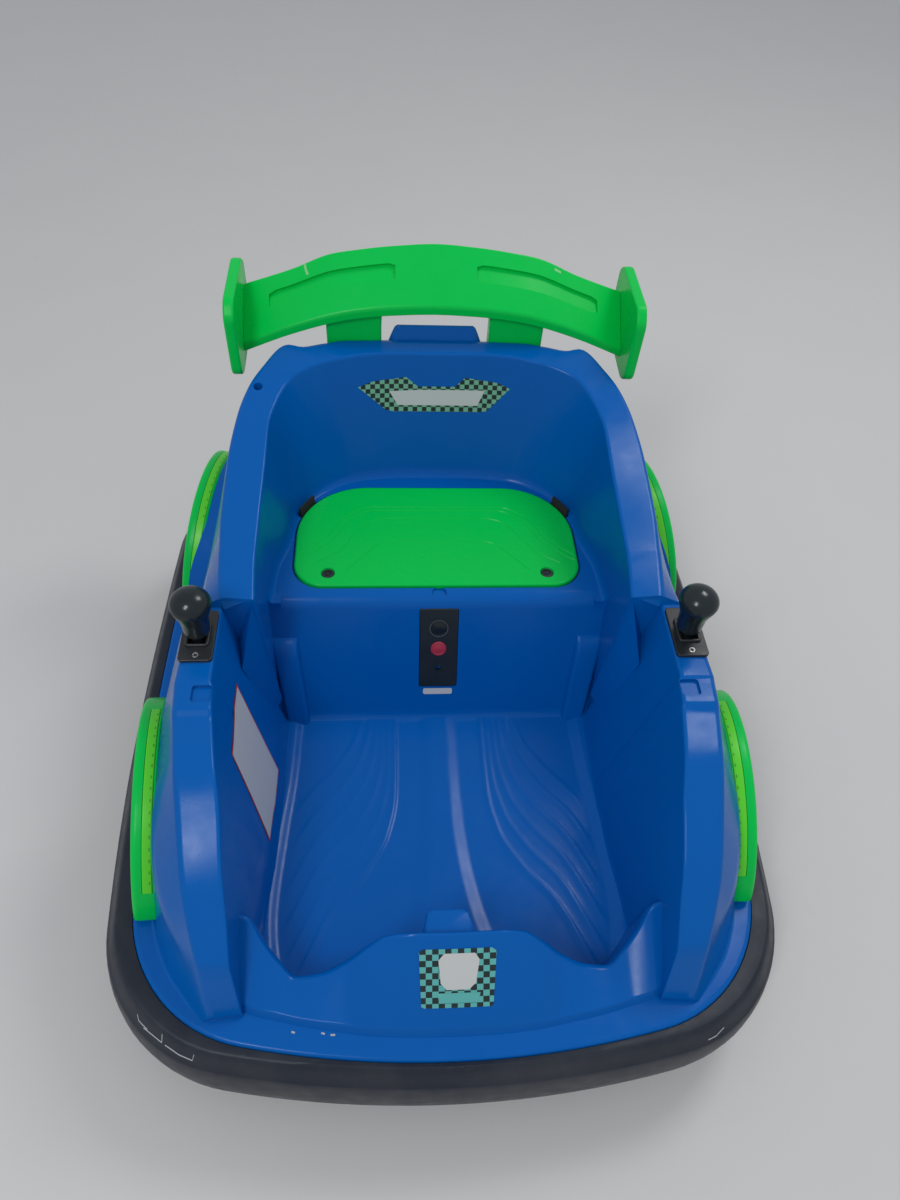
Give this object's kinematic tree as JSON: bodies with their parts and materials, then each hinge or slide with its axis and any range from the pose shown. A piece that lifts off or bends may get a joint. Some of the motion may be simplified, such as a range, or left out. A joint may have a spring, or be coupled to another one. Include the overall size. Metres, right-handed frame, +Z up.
{
  "type": "ride-on toy bumper car",
  "caption": "Child's battery ride-on bumper car: open moulded tub with side levers, ring bumper, seat lid, rear wing, drive wheels and swivel casters.",
  "frame": {"origin": "middle of the car's plan at floor level", "axes": "+Z up, the car's front towards -Y, the rider's left towards +X"},
  "size_m": [0.682, 0.81, 0.471],
  "materials": {
    "tub_plastic": "glossy moulded polyethylene",
    "green_plastic": "glossy moulded plastic",
    "light_strip": "translucent diffuser",
    "bumper_rubber": "satin, scuffed",
    "pan_plastic": "matte moulded",
    "black_plastic": "satin moulded",
    "red_plastic": "glossy",
    "webbing": "woven",
    "gearbox_plastic": "matte moulded",
    "wheel_plastic": "satin moulded",
    "tyre_rubber": "ribbed",
    "steel": "zinc plated"
  },
  "bodies": {
    "chassis": {"tub": "tub_plastic", "bumper_ring": "bumper_rubber", "base_pan": "pan_plastic", "seat_lid": "green_plastic", "lid_screws": "black_plastic", "belt_webbing": "webbing", "battery": "pan_plastic", "control_panel": "black_plastic", "sound_button": "black_plastic", "power_button": "red_plastic", "wing": "green_plastic", "wing_plate_left": "green_plastic", "wing_plate_right": "green_plastic", "fender_front_left": "green_plastic", "strip_front_left": "light_strip", "fender_front_right": "green_plastic", "strip_front_right": "light_strip", "fender_rear_left": "green_plastic", "strip_rear_left": "light_strip", "fender_rear_right": "green_plastic", "strip_rear_right": "light_strip", "lever_base_left": "black_plastic", "gearbox_left": "gearbox_plastic", "drive_axle_left": "steel", "lever_base_right": "black_plastic", "gearbox_right": "gearbox_plastic", "drive_axle_right": "steel", "caster_mount_front": "steel", "caster_mount_rear": "steel"},
    "drive_wheel_left": {"drive_hub_left": "wheel_plastic", "drive_tyre_left": "tyre_rubber"},
    "drive_wheel_right": {"drive_hub_right": "wheel_plastic", "drive_tyre_right": "tyre_rubber"},
    "steering_lever_left": {"lever_left": "black_plastic", "knob_left": "black_plastic"},
    "steering_lever_right": {"lever_right": "black_plastic", "knob_right": "black_plastic"},
    "caster_swivel_front": {"caster_fork_front": "black_plastic", "caster_axle_front": "steel"},
    "caster_wheel_front": {"caster_wheel_front": "wheel_plastic"},
    "caster_swivel_rear": {"caster_fork_rear": "black_plastic", "caster_axle_rear": "steel"},
    "caster_wheel_rear": {"caster_wheel_rear": "wheel_plastic"}
  },
  "joints": [
    {"name": "drive_wheel_left_spin", "type": "hinge", "parent": "chassis", "child": "drive_wheel_left", "pos_m": [0.23, 0.06, 0.055], "axis": [1, 0, 0], "continuous": true},
    {"name": "drive_wheel_right_spin", "type": "hinge", "parent": "chassis", "child": "drive_wheel_right", "pos_m": [-0.23, 0.06, 0.055], "axis": [1, 0, 0], "continuous": true},
    {"name": "steering_lever_left_tilt", "type": "hinge", "parent": "chassis", "child": "steering_lever_left", "pos_m": [0.238, -0.039, 0.283], "axis": [1, 0, 0], "range_deg": [-18, 18], "stiffness_Nm_per_rad": 1},
    {"name": "steering_lever_right_tilt", "type": "hinge", "parent": "chassis", "child": "steering_lever_right", "pos_m": [-0.238, -0.039, 0.283], "axis": [1, 0, 0], "range_deg": [-18, 18], "stiffness_Nm_per_rad": 1},
    {"name": "caster_swivel_front_turn", "type": "hinge", "parent": "chassis", "child": "caster_swivel_front", "pos_m": [0, -0.32, 0.065], "axis": [0, 0, 1], "continuous": true},
    {"name": "caster_wheel_front_spin", "type": "hinge", "parent": "caster_swivel_front", "child": "caster_wheel_front", "pos_m": [0, -0.307, 0.023], "axis": [1, 0, 0], "continuous": true},
    {"name": "caster_swivel_rear_turn", "type": "hinge", "parent": "chassis", "child": "caster_swivel_rear", "pos_m": [0, 0.32, 0.065], "axis": [0, 0, 1], "continuous": true},
    {"name": "caster_wheel_rear_spin", "type": "hinge", "parent": "caster_swivel_rear", "child": "caster_wheel_rear", "pos_m": [0, 0.307, 0.023], "axis": [1, 0, 0], "continuous": true}
  ]
}
